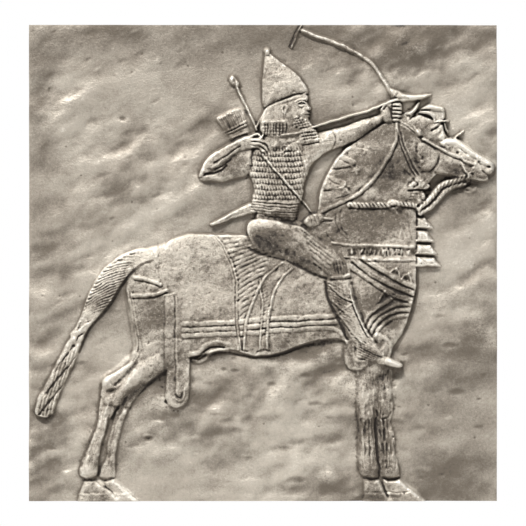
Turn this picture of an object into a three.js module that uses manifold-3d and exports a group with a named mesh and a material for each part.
// Relief plaque: one casting, a flat slab with a mounted archer in low relief.
// Millimetres. X runs to the right and Z up as the front is seen, and the front faces -Y.
// The origin is the centre of the flat back, which lies in the plane y = 0.

import * as THREE from 'three';
import { mergeVertices } from 'three/addons/utils/BufferGeometryUtils.js';
import Module from 'manifold-3d';

// ---------------------------------------------------------------- driving sizes

const SLAB = { width: 400, height: 407, thickness: 8 };
const ROOT_DEPTH = 2; // how far every raised form reaches down into the slab

// Heights above the ground of the relief.
const FAR_LEG = 2.6;
const BODY = 4.4;
const HINDQUARTER = 5;
const HEAD = 4.6;
const TAIL = 4.2;
const HARNESS = BODY + 0.8;
const TORSO = 5.6;
const THIGH = 8;
const LOWER_LEG = 6.6;
const ARM = 6.8;
const HELMET = 6.2;
const WEAPON = 2.6;
const FINE_LINE = 1.4; // how far strands and ridges stand above what carries them

// Widths of the long thin forms.
const STRAP_WIDTH = 3.2;
const BOW_WIDTH = 4;
const STRING_WIDTH = 1.5;
const ROW_WIDTH = 3; // one row of the rider's scale coat
const BELT_WIDTH = 2.2;

const BROAD_ROUNDING = 2; // a rim rounded over by more than this gets a second facet
const COARSE_FACET = 11; // length of one facet along the large outlines
const FINE_FACET = 5; // and along the small ones
const BAND_FACET = 20; // and along bands that are nearly straight

const METAL = { color: 0xa39a8d, roughness: 0.45, metalness: 0.85 };

// ---------------------------------------------------------------- ways of making a form

const wasm = await Module();
wasm.setup();

// A smooth curve through [x, z] points, open or closed.
const through = (points, closed) => new THREE.CatmullRomCurve3(
  points.map(([x, z]) => new THREE.Vector3(x, z, 0)), closed, 'centripetal',
);

// A closed outline as a flat shape, cut into facets of about the given length.
const ring = (points, facet) => {
  const curve = through(points, true);
  const count = Math.max(8, Math.round(curve.getLength() / facet));
  const corners = curve.getSpacedPoints(count).slice(0, count);
  return new THREE.Shape(corners.map((p) => new THREE.Vector2(p.x, p.y)));
};

// The outline of a strip that follows a curve. Its width runs evenly from start to end.
const strip = (points, startWidth, endWidth, facet) => {
  const curve = through(points, false);
  const count = points.length > 2 ? Math.max(2, Math.round(curve.getLength() / facet)) : 1;
  const left = [];
  const right = [];
  for (let i = 0; i <= count; i += 1) {
    const at = curve.getPointAt(i / count);
    const along = curve.getTangentAt(i / count);
    const half = THREE.MathUtils.lerp(startWidth, endWidth, i / count) / 2;
    left.push(new THREE.Vector2(at.x - along.y * half, at.y + along.x * half));
    right.push(new THREE.Vector2(at.x + along.y * half, at.y - along.x * half));
  }
  return new THREE.Shape([...right, ...left.reverse()]);
};

// A three.js geometry as a closed solid.
const solid = (geometry) => {
  geometry.deleteAttribute('normal');
  geometry.deleteAttribute('uv');
  const merged = mergeVertices(geometry, 1e-4);
  return new wasm.Manifold(new wasm.Mesh({
    numProp: 3,
    vertProperties: Float32Array.from(merged.attributes.position.array),
    triVerts: Uint32Array.from(merged.index.array),
  }));
};

// A flat shape raised to a height above the ground, with its rim rounded over.
const raise = (shape, height, rounding) => {
  const roundDepth = Math.min(rounding, height * 0.8);
  const geometry = new THREE.ExtrudeGeometry(shape, {
    depth: ROOT_DEPTH + height - roundDepth,
    bevelEnabled: rounding > 0,
    bevelThickness: roundDepth,
    bevelSize: rounding,
    bevelOffset: -rounding,
    bevelSegments: rounding > BROAD_ROUNDING ? 2 : 1,
  });
  geometry.translate(0, 0, SLAB.thickness - ROOT_DEPTH);
  geometry.rotateX(Math.PI / 2);
  return solid(geometry);
};

const form = (points, height, rounding, facet = COARSE_FACET) => raise(ring(points, facet), height, rounding);

const smallForm = (points, height, rounding = 0.8) => raise(ring(points, FINE_FACET), height, rounding);

const line = (points, height, startWidth, endWidth = startWidth, facet = COARSE_FACET) => (
  raise(strip(points, startWidth, endWidth, facet), height, 0)
);

// A low swelling: a flattened ball whose crown stands at a height above the ground.
const swelling = (x, z, radiusX, radiusZ, height, tilt = 0) => {
  const geometry = new THREE.SphereGeometry(1, 10, 6);
  geometry.rotateX(Math.PI / 2);
  geometry.scale(radiusX, SLAB.thickness * 0.5 + height, radiusZ);
  geometry.rotateY(-THREE.MathUtils.degToRad(tilt));
  geometry.translate(x, -SLAB.thickness * 0.5, z);
  return solid(geometry);
};

const join = (solids) => solids.reduce((whole, next) => whole.add(next));

// Equally spaced values from first to last.
const spread = (first, last, count) => Array.from(
  { length: count }, (_, i) => THREE.MathUtils.lerp(first, last, count > 1 ? i / (count - 1) : 0),
);

const mix = ([x0, z0], [x1, z1], t) => [THREE.MathUtils.lerp(x0, x1, t), THREE.MathUtils.lerp(z0, z1, t)];

// ---------------------------------------------------------------- the horse

const horseBody = () => form([
  [-100, 4], [-84, 16], [-66, 23], [-40, 24.3], [-10, 24], [20, 29], [38, 35], [46.5, 46],
  [48, 58], [55.5, 76], [65, 92], [85, 108], [106, 121], [122, 127.5], [148, 120], [158, 104],
  [154, 82], [142, 68], [131, 52], [124.5, 38], [127, 24], [131, 6], [131, -18], [126, -43],
  [119, -60], [111, -72], [106, -86], [80, -86], [68, -65.5], [50, -65.5], [32, -70], [12, -77],
  [-8, -78.6], [-30, -74], [-60, -80], [-88, -80], [-104, -40],
], BODY, 3.5);

const hindquarter = () => form([
  [-58, 23.8], [-74, 21.6], [-86, 15.5], [-102, 11.5], [-112, 5], [-116, -10], [-115.5, -34],
  [-111, -52], [-108.5, -68], [-112, -82], [-124, -92], [-136, -100], [-138.5, -112], [-141, -134],
  [-147, -152], [-155, -170], [-156, -181], [-149, -183], [-142, -181], [-140, -166], [-134, -142],
  [-127, -127], [-117, -113], [-100, -103], [-84, -92], [-70, -82], [-56, -74], [-50, -40], [-52, 0],
], HINDQUARTER, 3.5);

const farHindLeg = () => form([
  [-96, -96], [-103, -108], [-112, -119], [-118, -131], [-122.5, -148], [-125.5, -166], [-127.5, -183],
  [-139, -184], [-138, -175], [-134, -166], [-131.5, -150], [-127, -132], [-121, -112], [-108, -94],
], FAR_LEG, 1.6, 8);

const nearForeleg = () => form([
  [78, -76], [80, -96], [80, -124], [82, -140], [81, -158], [81, -173], [84, -182], [98, -182.5],
  [100, -174], [97.5, -162], [96.5, -146], [97.5, -130], [100, -108], [102, -80],
], BODY - 0.2, 2, 8);

const farForeleg = () => form([
  [94, -82], [95, -128], [97, -150], [98, -170], [102, -183], [116.5, -183], [116, -174], [112.5, -160],
  [112, -147], [109.5, -135], [111, -124], [109.5, -106], [110, -78],
], FAR_LEG + 0.4, 1.6, 8);

// A hoof runs on past the lower edge of the slab and is cut off with it.
const hoof = (heel, crownBack, crownFront, toe, height) => form([
  [heel, -208], [heel + 0.4, -198], [crownBack, -186], [(crownBack + crownFront) / 2, -184.5],
  [crownFront, -186], mix([crownFront, -186], [toe, -203], 0.5), [toe, -203], [toe + 3, -208],
], height, 1.8, 6);

const hooves = () => join([
  hoof(-128, -136, -127, -106, FAR_LEG),
  hoof(-158, -153, -142, -120, HINDQUARTER - 0.6),
  hoof(106, 103, 118, 139, FAR_LEG + 0.6),
  hoof(86, 85.5, 100, 108, BODY - 0.4),
]);

const horseHead = () => join([
  form([
    [136, 116], [148, 119], [155, 114], [161, 107], [167, 104.5], [176, 97], [186, 90.5], [194, 86],
    [197.6, 81], [193.5, 77.5], [190.5, 74], [187, 70.5], [176, 72.5], [162, 73], [148, 77], [136, 82],
    [130, 98],
  ], HEAD, 2, 6),
  swelling(145, 91, 16, 15, HEAD + 1.2),
  swelling(165, 95, 5.5, 4, HEAD + 1.2, -25),
  smallForm([
    [131, 131], [138, 134.5], [149, 133.5], [154.5, 130], [154, 122.5], [146, 120.5], [142, 126.5],
  ], HEAD + 0.6),
  smallForm([[121.5, 127], [127, 131.5], [133, 138.2], [134, 136], [131, 129.5], [125.5, 122.5]], HEAD, 0.7),
  line([[145, 120.3], [157.5, 121]], HEAD, 1.4),
  line([[153, 120], [155, 115], [157.5, 112]], HEAD, 1.4),
  line([[160, 105.5], [165, 108.5], [171, 112]], WEAPON, 1.6, 1),
]);

const tail = () => {
  const upper = [
    [-84, 10], [-98, 12.2], [-112, 10.6], [-124, 4.6], [-136, -5], [-143, -15], [-149, -28], [-154, -42],
    [-160, -54], [-165, -62], [-160, -70], [-154, -68], [-149, -57], [-140, -46], [-128, -30],
    [-116, -13], [-104, -2], [-90, 2],
  ];
  const lower = [
    [-160, -60], [-168, -68], [-176, -84], [-186, -103], [-193, -118], [-195, -128], [-188, -132],
    [-181, -129.5], [-175, -115], [-166, -96], [-159, -80], [-154, -66],
  ];
  const locks = spread(0.12, 0.88, 5).map((t) => {
    const root = mix([-165, -68], [-155, -72], t);
    const middle = mix([-181, -96], [-165, -96], t);
    const tip = mix([-194, -126], [-182, -128], t);
    return line([root, middle, tip], TAIL + FINE_LINE * 0.7, 1.4, 1.1, 9);
  });
  const plaits = spread(0, 1, 8).map((t) => {
    const outer = mix([-129, -2], [-155.5, -53], t);
    const inner = mix([-103, 0.5], [-138.5, -44], t);
    return line([outer, inner], TAIL + FINE_LINE * 0.5, 1.6, 1.2);
  });
  const tie = smallForm([
    [-166, -62], [-158, -54.5], [-148, -52.5], [-150, -58], [-157, -63], [-163, -68],
  ], TAIL + 1);
  return join([form(upper, TAIL, 2, 7), form(lower, TAIL - 0.4, 2, 7), tie, ...locks, ...plaits]);
};

// ---------------------------------------------------------------- harness and saddle cloth

const straps = () => {
  const belly = [
    [[-74, -52], [-20, -50.5], [30, -47.5], [66, -44.5]],
    [[-74, -57], [-20, -55.5], [30, -52.5], [66, -50]],
    [[-74, -61.5], [-20, -60.5], [30, -58], [70, -58.5]],
  ];
  const breeching = [
    [[-111, -12.5], [-99, -14], [-87, -18]],
    [[-111, -27], [-95, -26.5], [-84, -24], [-76, -21.5]],
  ];
  const breast = [
    [[86, 5], [108, -9.5], [130, -22]],
    [[77, 3], [92, -8.5], [108, -18], [130, -27]],
    [[76, -3], [92, -13], [110, -25.5], [128, -34]],
  ];
  const fan = [
    [[86, -53], [90, -44.5], [98, -37.5], [111, -29.5]],
    [[88, -58], [94, -47], [103, -40.5], [127, -35.5]],
    [[91, -61], [97, -50], [107, -43], [127, -40]],
    [[94, -65], [99, -55], [109, -47.5], [125, -44.5]],
  ];
  const girths = [
    [[19, -2], [6, -15], [-2, -30], [-6, -46], [-9, -72]],
    [[25, -4], [13, -20], [7, -38], [3, -72]],
  ];
  const laid = (lists, height, width, facet) => (
    lists.map((points) => line(points, height, width, width, facet))
  );
  return join([
    ...laid(belly, HARNESS, STRAP_WIDTH, COARSE_FACET * 3),
    ...laid(breeching, HARNESS + 0.6, STRAP_WIDTH, COARSE_FACET),
    ...laid(breast, HARNESS, STRAP_WIDTH * 0.7, COARSE_FACET * 1.5),
    ...laid(fan, HARNESS, STRAP_WIDTH * 0.8, COARSE_FACET * 0.8),
    ...laid(girths, HARNESS, STRAP_WIDTH, COARSE_FACET * 1.5),
  ]);
};

// A broad strap that hangs down, turns round at the bottom and comes up again.
const hangingLoop = (left, right, top, bottom, height) => {
  const middle = (left + right) / 2;
  const turn = bottom + (right - left) * 0.45;
  return line([
    [left, top], [left, (top + turn) / 2], [left, turn], [middle, bottom], [right, turn], [right, top - 6],
  ], height, 6, 6, COARSE_FACET * 0.8);
};

const saddleCloth = () => {
  const cloth = form([
    [-46, 24], [-28, 24], [-8, 24], [14, 16], [26, 0], [16, -8], [4, -18], [-6, -24], [-14, -27], [-20, -20],
    [-25, -2], [-34, 14],
  ], HARNESS, 0.8, 7);
  const border = line([
    [-41, 23.5], [-34, 15], [-27, 3], [-21, -8], [-20, -28], [-21, -50], [-19, -74],
  ], HARNESS + 0.5, 4.4, 4.4, COARSE_FACET * 1.2);
  const fringe = spread(17, -12, 7).map((z) => {
    const start = -22 + (17 - z) * 0.05;
    const end = Math.max(-4, 12 - (17 - z) * 0.35);
    return line([[start, z - 3], [end, z + (end - start) * 0.22]], HARNESS + FINE_LINE * 0.6, 1.8);
  });
  return join([cloth, border, ...fringe]);
};

// A star with pointed rays, cut as if from sheet.
const star = (x, z, radius, rays = 5) => {
  const points = spread(0, 2 * rays - 1, 2 * rays).map((k) => {
    const reach = k % 2 ? radius * 0.42 : radius;
    const turn = Math.PI / 2 + (k * Math.PI) / rays;
    return new THREE.Vector2(x + reach * Math.cos(turn), z + reach * Math.sin(turn));
  });
  return raise(new THREE.Shape(points), BODY + 1, 0);
};

// The flap over the neck carries stars, and its edge is cut in tongues.
const starredFlap = () => join([
  ...[[87, 97], [78, 81.5], [70.5, 64]].map(([x, z]) => star(x, z, 5)),
  smallForm([[61, 84], [66, 92], [76, 88], [80, 85], [72, 82.5]], BODY + 0.8),
  smallForm([[53, 64], [58, 74], [68, 71], [73, 67.5], [62, 63.5]], BODY + 0.8),
]);

const collar = () => {
  const band = line([[62, 10], [80, 9.3], [104, 9.4], [131, 9.6]], HARNESS + 0.4, 7);
  const rims = [14.6, 4.2].map((z) => line([[60, z + 1], [82, z], [130, z - 0.4]], HARNESS + 0.8, 1.6));
  return join([band, ...rims]);
};

const chestTassels = () => join([[33, 0], [23, 0.5], [11.5, 1.5], [0.5, 3]].map(([z, shift]) => smallForm([
  [131.5, z + 5], [139 + shift, z + 5], [146 + shift, z - 3], [145 + shift, z - 5.5], [131, z - 5],
], HEAD)));

const rein = () => join([
  line([[74, 49], [92, 49.2], [108, 50.5], [122, 49.5], [136, 46]], HARNESS + 0.6, 3.8),
  line([[135, 46.5], [143, 55], [152, 66], [163, 70], [176, 74]], HEAD, 2.4),
  line([[134, 42], [142, 46.5], [152, 57], [160, 64], [170, 67]], HEAD, 2.4),
  smallForm([[107, 51], [112, 54.5], [117, 51], [114, 43], [110, 43]], HARNESS + 1),
  smallForm([[124, 61], [133, 62], [142, 61], [142, 52], [134, 50], [125, 50]], HEAD),
  ...[[127.5, 67.5], [134.5, 69.5], [141, 66.5]].map(([x, z]) => swelling(x, z, 4, 5, HEAD + 0.8)),
]);

const bridle = () => join([
  line([[116, 121], [130, 113], [145, 101], [158, 92.5], [166, 89]], HEAD + 1.6, 2.2),
  line([[166, 88.5], [176, 86], [188, 84.5]], HEAD + 0.8, 1.8),
  line([[170, 86], [173, 78], [175, 72]], HEAD + 0.8, 1.8),
  line([[180, 86], [178, 78], [176, 72]], HEAD + 0.8, 1.8),
  line([[134.5, 108], [134, 96], [134, 82]], HEAD + 1.8, 4.4),
  swelling(140, 89, 9, 11, HEAD + 2),
  swelling(133, 112, 3, 3, HEAD + 2),
  swelling(153.5, 108.5, 3, 2.4, HEAD + 1.6),
]);

// ---------------------------------------------------------------- the rider

const torso = () => {
  const chest = form([
    [-8, 97], [0, 107], [18, 111], [34, 112], [48, 110], [47, 94], [40, 79], [35.5, 69], [34.3, 58],
    [31, 49], [29, 42], [26, 35.5], [10, 34], [-6, 36], [-10, 43], [-9.5, 54], [-8, 64], [-12, 76], [-12, 88],
  ], TORSO, 2, 6);
  const rows = spread(97, 56, 9).map((z) => (
    line([[-8, z + 0.6], [12, z - 1.2], [34, z + 0.4]], TORSO + 0.7, ROW_WIDTH, ROW_WIDTH, BAND_FACET)
  ));
  const belt = [51, 47.5, 44].map((z) => (
    line([[-8, z + 1], [10, z - 1.5], [29, z - 2.5]], TORSO + 0.9, BELT_WIDTH, BELT_WIDTH, BAND_FACET)
  ));
  return join([chest, ...rows, ...belt]);
};

const legs = () => join([
  form([
    [-12, 35], [-4, 37.5], [10, 36.5], [22, 33], [35, 30], [44, 22], [54, 15], [64, 7.5], [66.5, 3],
    [62, -4], [58, -12.5], [46, -8.5], [34, -3], [22, 3.5], [10, 6.5], [-2, 9], [-10, 17], [-13, 26],
  ], THIGH, 3.4, 7),
  ...spread(0, 1, 4).map((t) => {
    const [x0, z0] = mix([40, 21], [41, 6], t);
    return line([[x0, z0], [x0 + 20, z0 - 13]], THIGH + 0.6, 1.6);
  }),
  form([
    [58, -8], [72, -9], [74.5, -18], [79, -31], [84.5, -46], [89, -58], [95, -68], [104, -78],
    [98, -84], [84, -80], [76, -66], [67, -50], [59, -37], [55, -24],
  ], LOWER_LEG, 2, 7),
  line([[57, -12], [65, -12], [74, -12.5]], LOWER_LEG + 0.9, 3.4),
  form([
    [84, -70], [92, -74], [104, -79.5], [113, -82.5], [119.5, -86], [119.5, -89], [110, -89.5],
    [98, -85.5], [86, -81], [80, -79],
  ], LOWER_LEG - 0.4, 1.8, 6),
]);

const leftArm = () => join([
  form([
    [34, 110], [46, 111.5], [60, 114], [72, 117.8], [84, 122.3], [96, 125.6], [104, 129], [103, 121],
    [94, 114.6], [84, 107], [70, 99.7], [56, 95], [45, 87], [37, 76], [32, 84],
  ], ARM, 2.6, 6),
  smallForm([
    [100, 131], [105, 137], [112, 138.5], [118, 137], [119, 129], [117, 121], [110, 119], [102, 121],
  ], ARM - 0.6, 1.6),
  ...spread(135, 121.5, 5).map((z) => line([[110.5, z], [118, z - 0.6]], ARM + 0.4, 2.4)),
  line([[101, 134], [106, 137], [113, 139.5]], ARM + 0.6, 2.2),
]);

const rightArm = () => join([
  form([
    [-54, 72], [-45, 70], [-34, 69.6], [-24, 72.4], [-12, 75.5], [-6, 84], [-12, 95], [-20, 95],
    [-28, 87], [-34, 79], [-40, 76],
  ], TORSO, 1.6, 6),
  form([
    [-54, 74], [-52, 81], [-47, 89.5], [-38, 96], [-26, 103], [-12, 109], [-4, 110.6], [-1, 108],
    [4, 101], [7, 95.5], [3, 94], [-4, 97.5], [-16, 95.6], [-21, 94.6], [-29, 86], [-36, 78.6], [-46, 75.5],
  ], ARM, 2, 6),
  ...[[103.5, 96.5, 5], [100.4, 95.5, 2.5]].map(([z0, z1, reach]) => (
    line([[-9, z0], [0, z0 - 0.8], [reach, z1]], ARM + 0.5, 1.8)
  )),
]);

// The face is an ideal one: brow, nose and chin a third of the face apart.
const riderHead = () => {
  const browZ = 140;
  const third = 9;
  const frontX = 39;
  const face = form([
    [4, 136], [16, 140], [30, 144], [frontX - 0.6, browZ + 2], [frontX, browZ - 1],
    [frontX + 3.6, browZ - third], [frontX + 0.8, browZ - third - 1.6], [frontX + 1.8, browZ - third - 4],
    [frontX + 0.8, browZ - third - 6.5], [frontX + 3, browZ - 2 * third - 2], [46.5, 112], [48, 104],
    [38, 101.5], [24, 104], [10, 105], [-2, 111], [-2, 122], [1, 130],
  ], TORSO, 1.4, 4);
  const helmet = form([
    [3.2, 183.4], [6, 181], [8, 177.6], [15, 172.6], [25, 164.5], [33, 155.5], [38.4, 146], [37, 142.6],
    [26, 139.6], [14, 135.4], [3, 129.6], [-0.4, 134], [-1.4, 146], [-0.6, 162], [0.8, 177],
  ], HELMET, 2, 6);
  const brim = line([[2, 131.4], [14, 137], [26, 141], [38, 144.6]], HELMET + 0.6, 2.4);
  const hair = spread(1.5, 18, 6).map((x) => line([[x, 119.5], [x + 0.8, 108]], TORSO + 1, 1.6));
  const beard = spread(33, 45, 5).map((x) => line([[x - 1, 113], [x + 0.6, 103]], TORSO + 1, 1.5));
  return join([face, helmet, brim, ...hair, ...beard]);
};

// ---------------------------------------------------------------- weapons

const bow = () => join([
  line([
    [34, 199], [50, 193], [70, 186.5], [84, 178.5], [96, 167.5], [105, 154.5], [111, 141],
  ], WEAPON, BOW_WIDTH),
  line([
    [113.5, 121], [113, 109], [108, 93], [98, 77.5], [88, 64.5], [76, 55.5], [62, 49], [46, 40],
  ], HARNESS + 0.8, BOW_WIDTH * 0.85),
  smallForm([[34, 34], [39, 41], [47, 43], [53, 39], [48, 33], [40, 30]], THIGH, 1.4),
  line([[51, 38.4], [59, 37.6]], HARNESS, 2, 1.2),
  line([[33.5, 205], [28, 194], [24, 185], [17, 171]], WEAPON - 0.6, STRING_WIDTH),
  line([[1, 91], [20, 69.5], [43, 42]], TORSO + 1.6, STRING_WIDTH),
]);

const arrow = () => join([
  line([[16, 108.6], [30, 112], [60, 121], [80, 125.5], [113, 140]], ARM + 0.6, 1.8),
  smallForm([
    [108, 148.6], [117, 146.6], [122, 144.4], [144.5, 143.6], [137, 140], [126, 138.2], [116, 137.4],
    [111, 140],
  ], WEAPON + 1.4, 1),
]);

const quiver = () => join([
  smallForm([[-40, 124], [-18.5, 133], [-14, 120], [-12, 106], [-27, 102], [-33, 113]], WEAPON + 0.4),
  ...spread(0.1, 0.9, 5).map((t) => line([
    mix([-38, 123.5], [-19, 131.5], t), mix([-33, 112], [-16, 116], t),
  ], WEAPON + 1.2, 1.6)),
  ...[[-23, 116.5], [-30, 107.5]].map(([x, z]) => (
    line([[x - 6, z - 2], [x + 9, z + 3.4]], WEAPON + 1.5, 2.2)
  )),
  line([[-24, 153], [-18, 142], [-12, 129], [-5, 112]], WEAPON, 2.2),
  smallForm([[-29.5, 158], [-25, 160], [-20.5, 152], [-23, 149.5], [-28, 152]], WEAPON + 0.8),
]);

const dagger = () => smallForm([
  [-45, 33.8], [-36, 38.6], [-24, 44.6], [-9, 50.4], [-6, 44], [-18, 39.8], [-32, 35.6], [-44, 31.8],
], WEAPON + 1.6, 1);

// ---------------------------------------------------------------- the plaque

const reliefPlaque = () => {
  const slab = new THREE.BoxGeometry(SLAB.width, SLAB.thickness, SLAB.height);
  slab.translate(0, -SLAB.thickness / 2, 0);
  const reach = new THREE.BoxGeometry(SLAB.width, SLAB.thickness * 4, SLAB.height);
  reach.translate(0, -SLAB.thickness * 2, 0);
  const figures = join([
    tail(), farHindLeg(), farForeleg(), hindquarter(), nearForeleg(), hooves(), horseBody(), horseHead(),
    straps(), hangingLoop(-79.5, -64.5, -26, -120, HARNESS + 0.4),
    hangingLoop(73.5, 87.5, -62, -89.5, HARNESS),
    saddleCloth(), starredFlap(), collar(), chestTassels(), rein(), bridle(),
    quiver(), dagger(), torso(), legs(), leftArm(), riderHead(), rightArm(), bow(), arrow(),
  ]);
  const casting = solid(slab).add(figures.intersect(solid(reach)));
  const { vertProperties, triVerts } = casting.getMesh();
  const geometry = new THREE.BufferGeometry();
  geometry.setAttribute('position', new THREE.BufferAttribute(Float32Array.from(vertProperties), 3));
  geometry.setIndex(new THREE.BufferAttribute(Uint32Array.from(triVerts), 1));
  geometry.computeVertexNormals();
  return geometry;
};

const plaque = new THREE.Mesh(reliefPlaque(), new THREE.MeshStandardMaterial(METAL));
plaque.name = 'relief_plaque';

const model = new THREE.Group();
model.add(plaque);

export default model;
